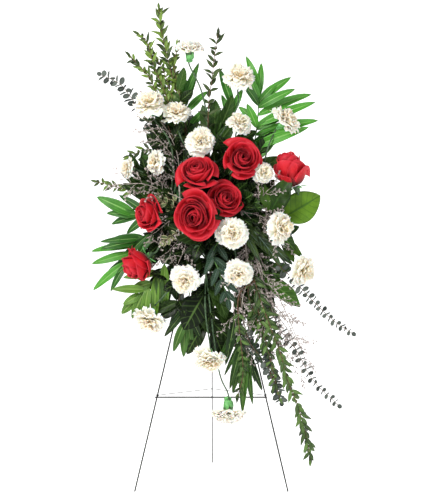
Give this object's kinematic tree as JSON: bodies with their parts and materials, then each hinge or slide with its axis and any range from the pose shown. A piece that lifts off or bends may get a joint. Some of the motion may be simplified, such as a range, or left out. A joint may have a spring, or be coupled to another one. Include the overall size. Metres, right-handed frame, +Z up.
{
  "type": "standing funeral spray on easel",
  "caption": "Standing spray of red roses, white carnations and mixed greenery in a foam holder, wired to a folding wire easel.",
  "frame": {"origin": "on the ground under the middle of the whole piece's bounding box", "axes": "+Z up, -Y towards the viewer in front of the flowers, +X to the viewer's right"},
  "size_m": [0.7382, 0.4332, 1.3549],
  "materials": {
    "black_wire": "black gloss paint on steel wire",
    "wet_foam": "green wet floral foam",
    "tray_plastic": "dark green moulded tray",
    "rose_petal": "velvety crimson petals",
    "carnation_petal": "soft white petals with cream hearts",
    "bloom_stem": "green stems and calyxes",
    "palm_green": "bright green satin leaf",
    "palm_yellow": "yellow-green satin leaf",
    "palm_dark": "dark green satin leaf",
    "salal_leaf": "leathery olive green leaf",
    "myrtle_leaf": "small glossy green leaves",
    "eucalyptus_leaf": "powdery grey-green leaves",
    "sea_lavender": "brown twigs with dusty pink florets",
    "pittosporum_leaf": "cream-edged green leaves",
    "fern_dark": "dark blue-green fronds"
  },
  "bodies": {
    "frame": {"easel_leg_left": "black_wire", "easel_leg_right": "black_wire", "easel_crossbar": "black_wire", "easel_spreader": "black_wire", "easel_hinge_pin": "black_wire", "bloom_stems_upper": "bloom_stem", "bloom_stems_left": "bloom_stem", "bloom_stems_right": "bloom_stem", "bloom_stems_middle": "bloom_stem", "bloom_stems_lower": "bloom_stem", "rose_head_1": "rose_petal", "rose_head_2": "rose_petal", "rose_head_3": "rose_petal", "rose_head_4": "rose_petal", "rose_head_5": "rose_petal", "rose_head_6": "rose_petal", "rose_head_7": "rose_petal", "carnation_head_1": "carnation_petal", "carnation_head_2": "carnation_petal", "carnation_head_3": "carnation_petal", "carnation_head_4": "carnation_petal", "carnation_head_5": "carnation_petal", "carnation_head_6": "carnation_petal", "carnation_head_7": "carnation_petal", "carnation_head_8": "carnation_petal", "carnation_head_9": "carnation_petal", "carnation_head_10": "carnation_petal", "carnation_head_11": "carnation_petal", "carnation_head_12": "carnation_petal", "carnation_head_13": "carnation_petal", "carnation_head_14": "carnation_petal", "carnation_head_15": "carnation_petal", "carnation_head_16": "carnation_petal", "carnation_head_17": "carnation_petal", "carnation_head_18": "carnation_petal", "palm_frond_upper": "palm_green", "palm_frond_left": "palm_green", "palm_frond_lower_left": "palm_yellow", "palm_frond_lower": "palm_green", "palm_straps_upper_left": "palm_dark", "salal_branch_top": "salal_leaf", "salal_branch_right": "salal_leaf", "salal_branch_lower_right": "salal_leaf", "salal_branch_lower_left": "salal_leaf", "myrtle_sprigs_upper_left": "myrtle_leaf", "myrtle_sprig_upper_right": "myrtle_leaf", "myrtle_sprig_trailing": "myrtle_leaf", "myrtle_sprigs_left": "myrtle_leaf", "eucalyptus_stem_upper": "eucalyptus_leaf", "eucalyptus_stem_right": "eucalyptus_leaf", "eucalyptus_stems_lower": "eucalyptus_leaf", "limonium_spray_left": "sea_lavender", "limonium_spray_right": "sea_lavender", "pittosporum_twigs": "pittosporum_leaf", "dark_greens_centre": "fern_dark", "foam_block": "wet_foam", "holder_tray": "tray_plastic", "tie_wire_left": "black_wire", "tie_wire_right": "black_wire"},
    "back_leg": {"easel_leg_back": "black_wire"}
  },
  "joints": [
    {"name": "back_leg_fold", "type": "hinge", "parent": "frame", "child": "back_leg", "pos_m": [-0.02915, 0.03513, 0.873], "axis": [-1, 0, 0], "range_deg": [0, 18]}
  ]
}
